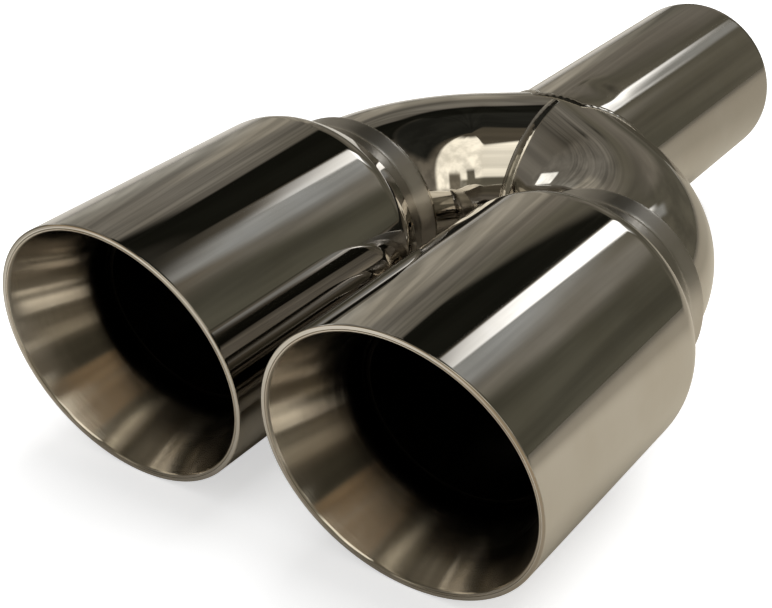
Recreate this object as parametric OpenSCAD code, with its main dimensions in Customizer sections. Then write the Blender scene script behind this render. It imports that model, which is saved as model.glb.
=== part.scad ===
// Twin exhaust tip: two slash-cut outlets on elbows that meet in one inlet tube.
// The origin is the centre of the inlet's rear end, +Y runs back along the inlet,
// +Z is up, and both outlets open towards -Y. Every piece is welded stainless sheet.

/* [Outlets] */
// Outside diameter of each outlet sleeve
tip_od = 88.9; // [82:0.1:92]
// Sheet thickness of the sleeves
tip_wall = 1.35; // [1:0.05:1.8]
// Distance between the axes of the two outlets
tip_spacing = 97; // [94:0.5:104]
// Straight length of a sleeve, on its axis from the rim to the shoulder
tip_straight = 89.4; // [60:0.1:140]
// Lean of the rim: the top of each mouth stands further forward
slash_angle = 9.5; // [2:0.5:16]
// Radius of the rounded shoulder behind the straight sleeve
shoulder_r = 13; // [6:0.5:18]
// Slope of the tapered back of a sleeve
taper_angle = 27; // [22:1:35]
// Hollow radius where the taper runs into the neck
crease_r = 1.8; // [1:0.1:4]
// Length of the straight neck that closes on the elbow
neck_len = 7.2; // [5:0.1:10]

/* [Liners] */
// Sheet thickness of the bevelled liners
liner_wall = 1.2; // [0.9:0.1:1.5]
// Width of the liner's flat edge beside the sleeve's edge at the rim
rim_land = 0.7; // [0.4:0.05:0.85]
// Depth of the band that lies against the inside of the sleeve
liner_band = 3; // [2:0.5:5]
// Slope of the bevel behind the rim
bevel_angle = 21; // [17:1:28]
// Radius of the soft turn from the bevel into the socket
bevel_turn_r = 20; // [6:1:26]
// Length of the socket that takes the core tube
socket_len = 9; // [5:0.5:12]

/* [Pipe] */
// Outside diameter of the core tubes and elbows
pipe_od = 63.5; // [61:0.1:64]
// Wall of the core tubes and elbows
pipe_wall = 1.5; // [1.2:0.1:2]
// Centreline radius of an elbow
bend_r = 55; // [50:0.5:58]
// Turn of an elbow
bend_angle = 60; // [57:1:62]
// Straight leg at the front of an elbow
elbow_leg = 16; // [12:0.5:22]

/* [Inlet] */
// How much wider the inlet tube is outside than the elbows
inlet_over = 1; // [0.6:0.1:3.5]
// Wall of the inlet tube
inlet_wall = 1.5; // [1.2:0.1:2]
// Length of the inlet from its rear end to the centre of the elbows' joint
inlet_len = 124; // [80:0.5:180]
// Height of the inlet's axis above the axes of the outlets
inlet_rise = 4; // [1:0.5:8]

/* [Welds] */
// Length of the bead behind each neck, along the pipe
neck_bead = 2.4; // [1.6:0.1:3.2]
// Half width of the bead between the elbows
mitre_bead = 1.9; // [1:0.1:2.6]
// Reach of the bead round the front of the inlet, on each of the two surfaces
inlet_bead = 1.9; // [1.2:0.1:2.6]
// Width of the hidden bead between a core tube and its elbow
core_bead = 3; // [2:0.1:4]

/* [Fits] */
// Gap round the elbow inside the neck that takes it
slip_gap = 0.28; // [0.28:0.01:0.5]
// How far the neck reaches over the start of the bend
neck_overrun = 3.5; // [1:0.1:3.5]

/* [Hidden] */
round_fn = 128;
liner_fn = 96;
sizing = 0.02;
hair = 0.03;
far = 400;

// Radii
tip_r = tip_od / 2;
tip_bore_r = tip_r - tip_wall;
pipe_r = pipe_od / 2;
pipe_bore_r = pipe_r - pipe_wall;
neck_bore_r = pipe_r + slip_gap;
neck_r = neck_bore_r + tip_wall;
inlet_r = (pipe_od + inlet_over) / 2;
inlet_bore_r = inlet_r - inlet_wall;

// Each elbow is turned a little about its outlet's axis, so its end rises to the inlet
half_spacing = tip_spacing / 2;
elbow_roll = atan2(inlet_rise, half_spacing);
elbow_reach = norm([half_spacing, inlet_rise]);
stub_len = (elbow_reach - bend_r * (1 - cos(bend_angle))) / sin(bend_angle);

// Stations along Y
mitre_y = -inlet_len;
bend_y = mitre_y - bend_r * sin(bend_angle) - stub_len * cos(bend_angle);
neck_end_y = bend_y + neck_overrun;
core_joint_y = bend_y - elbow_leg;
crease_y = neck_end_y - neck_len;
taper_drop = tip_r - neck_r - (shoulder_r + crease_r) * (1 - cos(taper_angle));
taper_len = taper_drop / tan(taper_angle);
shoulder_y = crease_y - (shoulder_r + crease_r) * sin(taper_angle) - taper_len;
rim_y = shoulder_y - tip_straight;
// The sleeves and their cuts start well ahead of the rim
ahead_y = rim_y - tip_r;

// Liner: bevel, soft turn and socket, measured back from the rim
land_r = tip_bore_r - rim_land;
turn_start_r = pipe_r + bevel_turn_r * (1 - cos(bevel_angle)) + 0.02;
bevel_len = (land_r - turn_start_r) / tan(bevel_angle);
turn_end = bevel_len + bevel_turn_r * sin(bevel_angle);
band_r = land_r + liner_wall / cos(bevel_angle) - liner_band * tan(bevel_angle);
// The socket's flats touch the round core tube, so its corners stand a hair off it
socket_r = pipe_r / cos(180 / liner_fn);
core_front = turn_end + 1.5;

// Points of an arc as [x, y], from one angle to another
function arc(centre, r, from, to, steps) =
    [for (i = [0:steps])
        let (t = from + (to - from) * i / steps)
        centre + r * [cos(t), sin(t)]];

// Outline of a sleeve from far in front of the rim to the end of its neck,
// as [radius, Y], moved towards the axis by inset
function sleeve_line(inset) = concat(
    [[tip_r - inset, ahead_y]],
    arc([tip_r - shoulder_r, shoulder_y], shoulder_r - inset, 0, taper_angle, 8),
    arc([neck_r + crease_r, crease_y], crease_r + inset, 180 + taper_angle, 180, 5));

// The elbow's own frame: u runs from the outlet's axis to the inlet's, v across it.
// Both take x as the distance from the middle plane, so they serve either side.
function own_u(p) = (half_spacing - p[0]) * cos(elbow_roll) + (p[2] + inlet_rise) * sin(elbow_roll);
function own_v(p) = (p[0] - half_spacing) * sin(elbow_roll) + (p[2] + inlet_rise) * cos(elbow_roll);
function own_frame(p) = [own_u(p), p[1], own_v(p)];
function part_frame(q) = [
    half_spacing - q[0] * cos(elbow_roll) + q[2] * sin(elbow_roll),
    q[1],
    q[0] * sin(elbow_roll) + q[2] * cos(elbow_roll) - inlet_rise];

// Nearest point of the elbow's centreline, in its own frame: the arc, or the stub past it
stub_way = [sin(bend_angle), cos(bend_angle), 0];
arc_end = [bend_r * (1 - cos(bend_angle)), bend_y + bend_r * sin(bend_angle), 0];
function arc_turn(q) = atan2(q[1] - bend_y, bend_r - q[0]);
function centreline(q) = arc_turn(q) > bend_angle
    ? arc_end + stub_way * ((q - arc_end) * stub_way)
    : [bend_r * (1 - cos(arc_turn(q))), bend_y + bend_r * sin(arc_turn(q)), 0];
function unit(a) = a / norm(a);
function on_elbow(p) =
    let (q = own_frame(p), c = centreline(q))
    part_frame(c + (pipe_r + hair) * unit(q - c));
function elbow_normal(p) =
    let (q = own_frame(p), c = centreline(q))
    unit(part_frame(q) - part_frame(c));

// Y of the rear face of the elbow above x and z, on the arc or on the stub past it
function arc_rear(u, v) =
    let (rho = bend_r + sqrt(max(0, pipe_r * pipe_r - v * v)))
    bend_y + sqrt(max(0, rho * rho - (u - bend_r) * (u - bend_r)));
function stub_rear(u, v) =
    mitre_y + (sqrt(max(0, pipe_r * pipe_r - v * v)) + cos(bend_angle) * (u - elbow_reach))
            / sin(bend_angle);
function elbow_rear(u, v) =
    arc_turn([u, arc_rear(u, v)]) > bend_angle ? stub_rear(u, v) : arc_rear(u, v);

function on_inlet(p) =
    let (k = (inlet_r + hair) / norm([p[0], p[2]]))
    [p[0] * k, p[1], p[2] * k];

// Front edge of the inlet on its outer surface, at an angle from +X towards +Z
function inlet_edge(t) =
    let (p = [inlet_r * cos(t), 0, inlet_r * sin(t)], v = own_v(p))
    [p[0], abs(v) < pipe_r ? max(mitre_y, elbow_rear(own_u(p), v)) : mitre_y, p[2]];

// One cross section of the bead round the inlet: along the elbow to the edge of the
// inlet, up over the edge, along the inlet, and back over the rounded outside
function inlet_bead_ring(t) =
    let (edge = inlet_edge(t),
         along = unit(inlet_edge(t + 0.5) - inlet_edge(t - 0.5)),
         foot = on_elbow(edge),
         lift = norm(edge - foot),
         out = unit(cross(elbow_normal(foot), along)),
         toe = on_elbow(foot + out * inlet_bead),
         step = on_inlet(edge + [0, max(0, 0.25 - lift), 0]),
         round_n = [cos(t), 0, sin(t)],
         back = unit(cross(along, round_n)),
         heel = edge + (back[1] > 0 ? back : -back) * inlet_bead,
         top = on_inlet(heel),
         bulge = unit(elbow_normal(foot) + round_n) * inlet_bead * 0.42)
    [toe, foot, step, top,
     top * 0.75 + toe * 0.25 + bulge * 0.8,
     top * 0.5 + toe * 0.5 + bulge,
     top * 0.25 + toe * 0.75 + bulge * 0.8];
function flipped(p) = [-p[0], p[1], p[2]];
bead_steps = 44;

// Seam of the two elbows in the plane x = 0, at an angle from the front towards +Z
stub_axis = [-sin(bend_angle) * cos(elbow_roll), cos(bend_angle),
             sin(bend_angle) * sin(elbow_roll)];
function seam_way(t) = [0, -cos(t), sin(t)];
function seam_len(t) =
    let (lean = seam_way(t) * stub_axis)
    (pipe_r + sizing + hair) / sqrt(1 - lean * lean);
function seam_normal(t) =
    let (e = seam_way(t), n = e - (e * stub_axis) * stub_axis)
    unit([0, n[1], n[2]]);
function mitre_bead_ring(t) =
    let (p = [0, mitre_y, 0] + seam_len(t) * seam_way(t),
         toe = p - stub_axis * (mitre_bead / (sin(bend_angle) * cos(elbow_roll))),
         mid = [0, toe[1], toe[2]],
         bulge = seam_normal(t) * mitre_bead * 0.4)
    [p, toe, mid * 0.4 + toe * 0.6 + bulge * 0.7, mid + bulge,
     mid * 0.4 + flipped(toe) * 0.6 + bulge * 0.7, flipped(toe)];
seam_steps = 44;
// The seam's bead ends inside the bead round the inlet
seam_reach = acos(inlet_bead * 0.6 / pipe_r);

// Solid through rings of points: a closed loop of rings, or one with flat ends
module swept(rings, closed) {
    n = len(rings);
    m = len(rings[0]);
    last = closed ? n - 1 : n - 2;
    sides = [for (i = [0:last]) for (j = [0:m - 1])
        let (a = i * m + j, b = i * m + (j + 1) % m,
             c = ((i + 1) % n) * m + (j + 1) % m, d = ((i + 1) % n) * m + j)
        each [[a, b, c], [a, c, d]]];
    ends = closed ? [] : [[for (j = [m - 1:-1:0]) j], [for (j = [0:m - 1]) (n - 1) * m + j]];
    polyhedron(points = [for (r = rings) each r], faces = concat(sides, ends), convexity = 6);
}

module turned(points, sides = round_fn) {
    // The outline is turned about Z, and Z is laid along +Y
    rotate([-90, 0, 0])
        rotate_extrude($fn = sides)
            polygon(points);
}

module at_outlet(side) {
    translate([side * half_spacing, 0, -inlet_rise])
        children();
}

module on_side(side) {
    if (side < 0) mirror([1, 0, 0]) children();
    else children();
}

module in_front_of_lean(y) {
    // Everything in front of a plane that leans like the rim
    translate([0, y, 0])
        rotate([slash_angle, 0, 0])
            translate([-far / 2, -far, -far / 2])
                cube([far, far, far]);
}

module pipe_y(r, from, to) {
    translate([0, from, 0])
        rotate([-90, 0, 0])
            cylinder(r = r, h = to - from, $fn = round_fn);
}

module sleeve(side) {
    outer = sleeve_line(0);
    inner = sleeve_line(tip_wall);
    at_outlet(side)
        difference() {
            turned(concat(outer, [[neck_r, neck_end_y], [0, neck_end_y], [0, ahead_y]]));
            turned(concat([[tip_bore_r, ahead_y - tip_wall]], inner,
                [[neck_bore_r, neck_end_y + tip_wall], [0, neck_end_y + tip_wall],
                 [0, ahead_y - tip_wall]]));
            in_front_of_lean(rim_y);
        }
}

module liner(side) {
    front = turn_end + socket_len;
    outline = concat(
        [[tip_bore_r, 0], [tip_bore_r, liner_band], [band_r, liner_band]],
        arc([socket_r + bevel_turn_r, turn_end], bevel_turn_r - liner_wall,
            180 + bevel_angle, 180, 3),
        [[socket_r + liner_wall, front], [socket_r, front]],
        arc([socket_r + bevel_turn_r, turn_end], bevel_turn_r, 180, 180 + bevel_angle, 4),
        [[land_r, 0]]);
    at_outlet(side)
        translate([0, rim_y, 0])
            multmatrix([[1, 0, 0, 0], [0, 1, -tan(slash_angle), 0], [0, 0, 1, 0]])
                turned(outline, liner_fn);
}

module core_tube(side) {
    at_outlet(side)
        difference() {
            pipe_y(pipe_r, rim_y, core_joint_y);
            pipe_y(pipe_bore_r, rim_y - 1, core_joint_y + 1);
            in_front_of_lean(rim_y + core_front);
        }
}

module core_weld(side) {
    half = core_bead / 2;
    at_outlet(side)
        turned([[pipe_r, core_joint_y - half], [pipe_r + 0.55, core_joint_y - half * 0.75],
                [pipe_r + 0.9, core_joint_y - half * 0.3], [pipe_r + 0.9, core_joint_y + half * 0.3],
                [pipe_r + 0.55, core_joint_y + half * 0.75], [pipe_r, core_joint_y + half]]);
}

module elbow_run(r, extra) {
    // Leg, bend and stub of the right elbow, solid, in the part's frame
    at_outlet(1)
        rotate([0, elbow_roll, 0]) {
            pipe_y(r, core_joint_y - extra, bend_y);
            translate([-bend_r, bend_y, 0])
                rotate_extrude(angle = bend_angle, $fn = round_fn)
                    translate([bend_r, 0])
                        circle(r = r, $fn = round_fn);
            // The end past the bend is sized a hair larger, and starts just inside the bend
            translate([-bend_r, bend_y, 0])
                rotate([0, 0, bend_angle])
                    translate([bend_r, 0, 0])
                        pipe_y(r + sizing, -0.4, stub_len + pipe_r);
        }
}

module past_middle() {
    translate([-far, -far, -far / 2])
        cube([far, far * 2, far]);
}

module elbow_outside(side) {
    on_side(side)
        difference() {
            elbow_run(pipe_r, 0);
            past_middle();
        }
}

module elbow(side) {
    on_side(side)
        difference() {
            elbow_run(pipe_r, 0);
            elbow_run(pipe_bore_r, 1);
            past_middle();
            pipe_y(inlet_bore_r, mitre_y, 0);
        }
}

module neck_weld(side) {
    // Lies over the corner of the neck and runs down on to the bend
    on_side(side)
        difference() {
            at_outlet(1)
                turned([[neck_r, neck_end_y - neck_bead * 0.25],
                        [neck_r + 0.4, neck_end_y], [neck_r + 0.4, neck_end_y + neck_bead * 0.3],
                        [neck_r - 0.1, neck_end_y + neck_bead * 0.62],
                        [pipe_r + 0.5, neck_end_y + neck_bead * 0.88],
                        [pipe_r - 1, neck_end_y + neck_bead], [pipe_r - 1, neck_end_y],
                        [neck_r, neck_end_y]]);
            elbow_run(pipe_r, 0);
        }
}

module inlet() {
    difference() {
        pipe_y(inlet_r, mitre_y, 0);
        pipe_y(inlet_bore_r, mitre_y - 1, 1);
        elbow_outside(1);
        elbow_outside(-1);
    }
}

module inlet_bead_ring_all() {
    right = [for (i = [0:bead_steps]) inlet_bead_ring(-90 + 180 * i / bead_steps)];
    left = [for (i = [bead_steps - 1:-1:1])
        [for (p = inlet_bead_ring(-90 + 180 * i / bead_steps)) flipped(p)]];
    swept(concat(right, left), true);
}

module mitre_bead_all() {
    difference() {
        swept([for (i = [0:seam_steps])
            mitre_bead_ring(-seam_reach + 2 * seam_reach * i / seam_steps)], false);
        inlet_bead_ring_all();
    }
}

module left_sleeve() { color("silver") sleeve(-1); }
module right_sleeve() { color("silver") sleeve(1); }
module left_liner() { color("tan") liner(-1); }
module right_liner() { color("tan") liner(1); }
module left_core_tube() { color("dimgray") core_tube(-1); }
module right_core_tube() { color("dimgray") core_tube(1); }
module left_core_weld() { color("gray") core_weld(-1); }
module right_core_weld() { color("gray") core_weld(1); }
module left_elbow() { color("lightsteelblue") elbow(-1); }
module right_elbow() { color("lightsteelblue") elbow(1); }
module left_neck_weld() { color("gray") neck_weld(-1); }
module right_neck_weld() { color("gray") neck_weld(1); }
module mitre_weld() { color("gray") mitre_bead_all(); }
module inlet_tube() { color("silver") inlet(); }
module inlet_weld() { color("gray") inlet_bead_ring_all(); }

left_sleeve();
right_sleeve();
left_liner();
right_liner();
left_core_tube();
right_core_tube();
left_core_weld();
right_core_weld();
left_elbow();
right_elbow();
left_neck_weld();
right_neck_weld();
mitre_weld();
inlet_tube();
inlet_weld();
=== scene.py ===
# %% [markdown]
# A twin exhaust tip in mirror-polished stainless steel: two slash-cut outlets, each with
# a bevelled liner, on bent pipes that meet in one inlet tube. A mirror shows the shape
# of everything round it, so this lesson has two halves. First the surfaces are worked
# out with numpy, finely enough that no facet breaks a reflection. Then a small studio
# of cards is built for the metal to reflect.

# %% Load the frame
import math

import bpy
import numpy as np
from mathutils import Matrix


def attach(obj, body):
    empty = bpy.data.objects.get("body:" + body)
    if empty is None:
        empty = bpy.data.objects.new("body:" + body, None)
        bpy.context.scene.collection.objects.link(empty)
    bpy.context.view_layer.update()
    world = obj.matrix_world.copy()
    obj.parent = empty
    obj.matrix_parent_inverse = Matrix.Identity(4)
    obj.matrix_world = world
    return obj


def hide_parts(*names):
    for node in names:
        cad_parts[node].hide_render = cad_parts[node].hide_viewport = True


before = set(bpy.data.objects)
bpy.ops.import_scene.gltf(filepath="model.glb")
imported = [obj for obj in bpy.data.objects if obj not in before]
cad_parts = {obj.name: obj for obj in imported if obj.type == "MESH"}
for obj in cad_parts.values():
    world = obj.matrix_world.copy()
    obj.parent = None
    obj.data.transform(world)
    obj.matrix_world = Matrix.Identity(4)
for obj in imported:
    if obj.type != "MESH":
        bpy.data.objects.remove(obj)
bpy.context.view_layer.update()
print("nodes in the frame:", sorted(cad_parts))

# %% [markdown]
# The sizes are the real ones, in millimetres, and repeat those of the CAD source. The
# origin is the centre of the inlet's rear end, +Y runs back along the inlet and +Z is up.
# The stations along Y follow from the lengths, just as a fitter would add them up.

# %% Sizes and stations
MM = 0.001
TIP_R, TIP_WALL, HALF_SPACING = 44.45, 1.35, 48.5
STRAIGHT, SLASH = 89.4, math.tan(math.radians(9.5))
SHOULDER_R, TAPER, CREASE_R = 13.0, math.radians(27.0), 1.8
LINER_WALL, LAND, BAND = 1.2, 0.7, 3.0
BEVEL, TURN_R, SOCKET_LEN = math.radians(21.0), 20.0, 9.0
PIPE_R, PIPE_WALL, BEND_R, BEND = 31.75, 1.5, 55.0, math.radians(60.0)
LEG = 16.0
INLET_R, INLET_WALL, INLET_LEN, RISE = 32.25, 1.5, 124.0, 4.0
SLIP, OVERRUN, NECK_LEN = 0.28, 3.5, 7.2

TIP_BORE = TIP_R - TIP_WALL
NECK_BORE = PIPE_R + SLIP
NECK_R = NECK_BORE + TIP_WALL
INLET_BORE = INLET_R - INLET_WALL
ROLL = math.atan2(RISE, HALF_SPACING)
REACH = math.hypot(HALF_SPACING, RISE)
STUB = (REACH - BEND_R * (1 - math.cos(BEND))) / math.sin(BEND)
MITRE_Y = -INLET_LEN
BEND_Y = MITRE_Y - BEND_R * math.sin(BEND) - STUB * math.cos(BEND)
NECK_END = BEND_Y + OVERRUN
JOINT_Y = BEND_Y - LEG
CREASE_Y = NECK_END - NECK_LEN
DROP = TIP_R - NECK_R - (SHOULDER_R + CREASE_R) * (1 - math.cos(TAPER))
SHOULDER_Y = CREASE_Y - (SHOULDER_R + CREASE_R) * math.sin(TAPER) - DROP / math.tan(TAPER)
RIM_Y = SHOULDER_Y - STRAIGHT
print("rim at", round(RIM_Y, 2), "shoulder at", round(SHOULDER_Y, 2), "bend at", round(BEND_Y, 2))

# %% [markdown]
# Every piece here is a grid: one parameter runs round the piece and one along it. A grid
# needs one helper that numbers its faces and puts whole arrays into the mesh. Each grid
# also keeps a UV map in metres, so that a brushed finish can follow the surface.

# %% Grid to mesh
STEEL_PIECES = {}
SURFACE_UV = "around_and_along"


def grid_faces(rows, cols, wrap_rows, wrap_cols):
    """Corner numbers of the quads of a rows by cols grid, wrapped where it closes."""
    i = np.arange(rows if wrap_rows else rows - 1)[:, None]
    j = np.arange(cols if wrap_cols else cols - 1)[None, :]
    a = i * cols + j
    b = i * cols + (j + 1) % cols
    c = (i + 1) % rows * cols + (j + 1) % cols
    d = (i + 1) % rows * cols + j
    return np.stack([a, b, c, d], axis=-1).reshape(-1, 4)


def put_mesh(name, points, quads, caps, uv):
    """Mesh from arrays: points (n, 3) in mm, quads (m, 4), two end faces or none, and uv in
    metres for each corner."""
    corners = np.concatenate([quads.ravel()] + [cap.ravel() for cap in caps]).astype(np.int32)
    sizes = np.array([4] * len(quads) + [len(cap) for cap in caps])
    starts = np.concatenate([[0], np.cumsum(sizes)[:-1]]).astype(np.int32)
    mesh = bpy.data.meshes.new(name)
    mesh.vertices.add(len(points))
    mesh.vertices.foreach_set("co", (points * MM).astype(np.float32).ravel())
    mesh.loops.add(len(corners))
    mesh.loops.foreach_set("vertex_index", corners)
    mesh.polygons.add(len(sizes))
    mesh.polygons.foreach_set("loop_start", starts)
    layer = mesh.uv_layers.new(name=SURFACE_UV)
    uv = np.concatenate([uv.reshape(-1, 2), np.zeros((len(corners) - quads.size, 2))])
    layer.uv.foreach_set("vector", uv.astype(np.float32).ravel())
    mesh.update(calc_edges=True)
    mesh.shade_smooth()
    obj = bpy.data.objects.new(name, mesh)
    bpy.context.scene.collection.objects.link(obj)
    return obj


def grid_piece(name, points, wrap_rows=True, wrap_cols=True):
    """Piece from a grid of points (rows, cols, 3) in mm. Its UV is the length walked along
    the columns and rows. The faces are turned over if the volume they enclose, a sixth of
    the sum of corner . (corner x corner), comes out negative."""
    rows, cols = points.shape[:2]
    faces = grid_faces(rows, cols, wrap_rows, wrap_cols)
    down = np.linalg.norm(np.diff(points, axis=0, append=points[:1]), axis=-1).mean(axis=1)
    across = np.linalg.norm(np.diff(points, axis=1, append=points[:, :1]), axis=-1).mean(axis=0)
    v = np.concatenate([[0.0], np.cumsum(down)]) * MM
    u = np.concatenate([[0.0], np.cumsum(across)]) * MM
    row = np.arange(rows if wrap_rows else rows - 1)
    col = np.arange(cols if wrap_cols else cols - 1)
    r, c = np.meshgrid(row, col, indexing="ij")
    order = [(r, c), (r, c + 1), (r + 1, c + 1), (r + 1, c)]
    uv = np.stack([np.stack([u[b], v[a]], axis=-1) for a, b in order], axis=2).reshape(-1, 4, 2)
    flat = points.reshape(-1, 3)
    a, b, c, d = [flat[faces[:, k]] - flat.mean(axis=0) for k in range(4)]
    inside_out = (np.cross(a, b) * c + np.cross(a, c) * d).sum() < 0
    caps = []
    if not wrap_rows:
        first, last = np.arange(cols), np.arange(cols) + (rows - 1) * cols
        caps = [first, last[::-1]]
    if inside_out:
        faces, uv, caps = faces[:, ::-1], uv[:, ::-1], [cap[::-1] for cap in caps]
    obj = put_mesh(name, flat, faces, caps, uv)
    print(f"{name}: {len(faces)} quads")
    return obj


# %% [markdown]
# A spun tube is one closed outline carried round an axis. The outline goes down the
# outside, round the end and back up the inside, so that the piece is a real sheet with
# a thickness. Lines are cut short and corners get their own few points, because a long
# face beside a rounded corner would bend the reflection all along it.

# %% Outlines and turning
def line(a, b, step):
    """Points from a to b (b left out), no further apart than step."""
    a, b = np.asarray(a, float), np.asarray(b, float)
    n = max(1, int(math.ceil(np.linalg.norm(b - a) / step)))
    return a + (b - a) * (np.arange(n) / n)[:, None]


def arc(centre, radius, start, stop, n):
    """Points on a circle from angle start to stop (stop left out): centre + radius
    times (cosine, sine)."""
    t = start + (stop - start) * np.arange(n) / n
    return np.asarray(centre, float) + radius * np.stack([np.cos(t), np.sin(t)], axis=1)


def rounded(corners, radii, step):
    """Closed outline through corners, each rounded by its radius: the line stops short of
    a corner by radius times the tangent of half its turn, and a circle joins the ends."""
    corners = [np.asarray(c, float) for c in corners]
    out = []
    count = len(corners)
    ends = []
    for k in range(count):
        before, here, after = corners[k - 1], corners[k], corners[(k + 1) % count]
        to, away = here - before, after - here
        to, away = to / np.linalg.norm(to), away / np.linalg.norm(away)
        turn = math.acos(float(np.clip(to @ away, -1, 1)))
        cut = radii[k] * math.tan(turn / 2)
        ends.append((here - to * cut, here + away * cut, to, away, turn))
    for k, (start, stop, to, away, turn) in enumerate(ends):
        if radii[k] > 0 and turn > 0.01:
            side = np.sign(to[0] * away[1] - to[1] * away[0])
            normal = np.array([-to[1], to[0]]) * side
            centre = start + normal * radii[k]
            first = math.atan2(*(start - centre)[::-1])
            n = max(3, int(turn / math.radians(14)))
            out.append(arc(centre, radii[k], first, first + side * turn, n))
        out.append(line(stop, ends[(k + 1) % count][0], step))
    return np.concatenate(out)


def turn_about_tip(outline, side, lean, segments=320):
    """Surface of revolution about an outlet's axis. A point at radius r, height y and
    angle t lands at (r cos t, y - lean * slope * r sin t, r sin t): lean is 1 where the
    surface is cut with the rim and 0 where it is square."""
    t = np.linspace(0, 2 * math.pi, segments, endpoint=False)[None, :]
    r, y = outline[:, :1], outline[:, 1:2]
    k = lean(y)
    x = side * HALF_SPACING + r * np.cos(t)
    z = r * np.sin(t)
    return np.stack([x, y - k * SLASH * z, z - RISE], axis=-1)


# %% [markdown]
# The sleeve is one spun sheet: a straight tube, a soft shoulder, a cone and a short neck.
# Its front is sawn at a slant and polished, with both edges of the cut just broken. It
# could be a stack of cylinders and cones, but one outline keeps the bends tangent, and a
# mirror finish would show any kink. The inside of the sheet is the same outline moved in
# by its thickness. The neck is flared a little at its end, where the weld is laid.

# %% Outlet sleeves
FLARE, FLARE_FOOT, FLARE_EDGE = 0.9, 0.6, 0.3
CUT_EDGE, BORE_EDGE = 0.28, 0.12
FLARE_R = NECK_R + FLARE


def sleeve_bends(inset):
    """The shoulder's arc and the crease's arc, on the sheet's outside moved in by inset."""
    shoulder = arc((TIP_R - SHOULDER_R, SHOULDER_Y), SHOULDER_R - inset, 0, TAPER, 14)
    crease = arc((NECK_R + CREASE_R, CREASE_Y), CREASE_R + inset, math.pi + TAPER, math.pi, 7)
    return shoulder, crease


def sleeve_outline():
    """Closed outline of the sleeve sheet as (radius, Y), outside first."""
    top, hollow = sleeve_bends(0)
    top_in, hollow_in = sleeve_bends(TIP_WALL)
    cut, edge = CUT_EDGE, BORE_EDGE
    outside = [
        arc((TIP_R - cut, RIM_Y + cut), cut, -math.pi / 2, 0, 5),
        line((TIP_R, RIM_Y + cut), (TIP_R, RIM_Y + 2.0), 0.6),
        line((TIP_R, RIM_Y + 2.0), (TIP_R, SHOULDER_Y - 1.5), 2.4),
        line((TIP_R, SHOULDER_Y - 1.5), (TIP_R, SHOULDER_Y), 0.5),
        top,
        line((TIP_R - SHOULDER_R * (1 - math.cos(TAPER)), SHOULDER_Y + SHOULDER_R * math.sin(TAPER)),
             hollow[0], 1.2),
        hollow,
        line((NECK_R, CREASE_Y), (NECK_R, CREASE_Y + FLARE_FOOT), 0.3),
        line((NECK_R, CREASE_Y + FLARE_FOOT), (FLARE_R, NECK_END - FLARE_EDGE), 0.8),
        arc((FLARE_R - FLARE_EDGE, NECK_END - FLARE_EDGE), FLARE_EDGE, 0, math.pi / 2, 4),
    ]
    inside = [
        line((FLARE_R - FLARE_EDGE, NECK_END), (NECK_BORE, NECK_END), 0.6),
        line((NECK_BORE, NECK_END), (NECK_BORE, CREASE_Y), 1.5),
        hollow_in[::-1],
        line(hollow_in[0], (TIP_BORE - (SHOULDER_R - TIP_WALL) * (1 - math.cos(TAPER)),
                            SHOULDER_Y + (SHOULDER_R - TIP_WALL) * math.sin(TAPER)), 3.0),
        top_in[::-1],
        line((TIP_BORE, SHOULDER_Y), (TIP_BORE, RIM_Y + edge), 6.0),
        arc((TIP_BORE + edge, RIM_Y + edge), edge, math.pi, 1.5 * math.pi, 3),
        line((TIP_BORE + edge, RIM_Y), (TIP_R - cut, RIM_Y), 0.25),
    ]
    return np.concatenate(outside + inside)


def sleeve_lean(y):
    """Lean of the cut: 1 at the rim, falling evenly to 0 at the shoulder."""
    return np.clip((SHOULDER_Y - y) / STRAIGHT, 0, 1)


outline = sleeve_outline()
for name, side in (("left_sleeve", -1), ("right_sleeve", 1)):
    piece = grid_piece(name + "_skin", turn_about_tip(outline, side, sleeve_lean))
    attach(piece, "root")
    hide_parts(name)
    STEEL_PIECES[name] = piece

# %% [markdown]
# The liner is the bevelled mouth. Its flat edge lies beside the sleeve's at the rim with
# a hairline groove between, then it slopes in and turns softly into a socket round the
# core tube. A plain cone would be quicker, but the edge, the groove and the soft turn are
# what make it read as a second sheet. It leans with the rim over its whole depth, so the
# bevel is even all round.

# %% Bevelled liners and core tubes
HAIR = 0.02
LAND_R = TIP_BORE - LAND
SOCKET_R = PIPE_R + HAIR
TURN_START_R = SOCKET_R + TURN_R * (1 - math.cos(BEVEL))
TURN_END = (LAND_R - TURN_START_R) / math.tan(BEVEL) + TURN_R * math.sin(BEVEL)
BAND_R = LAND_R + LINER_WALL / math.cos(BEVEL) - BAND * math.tan(BEVEL)
CORE_SETBACK = 1.5
CORE_FRONT = TURN_END + CORE_SETBACK


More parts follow.
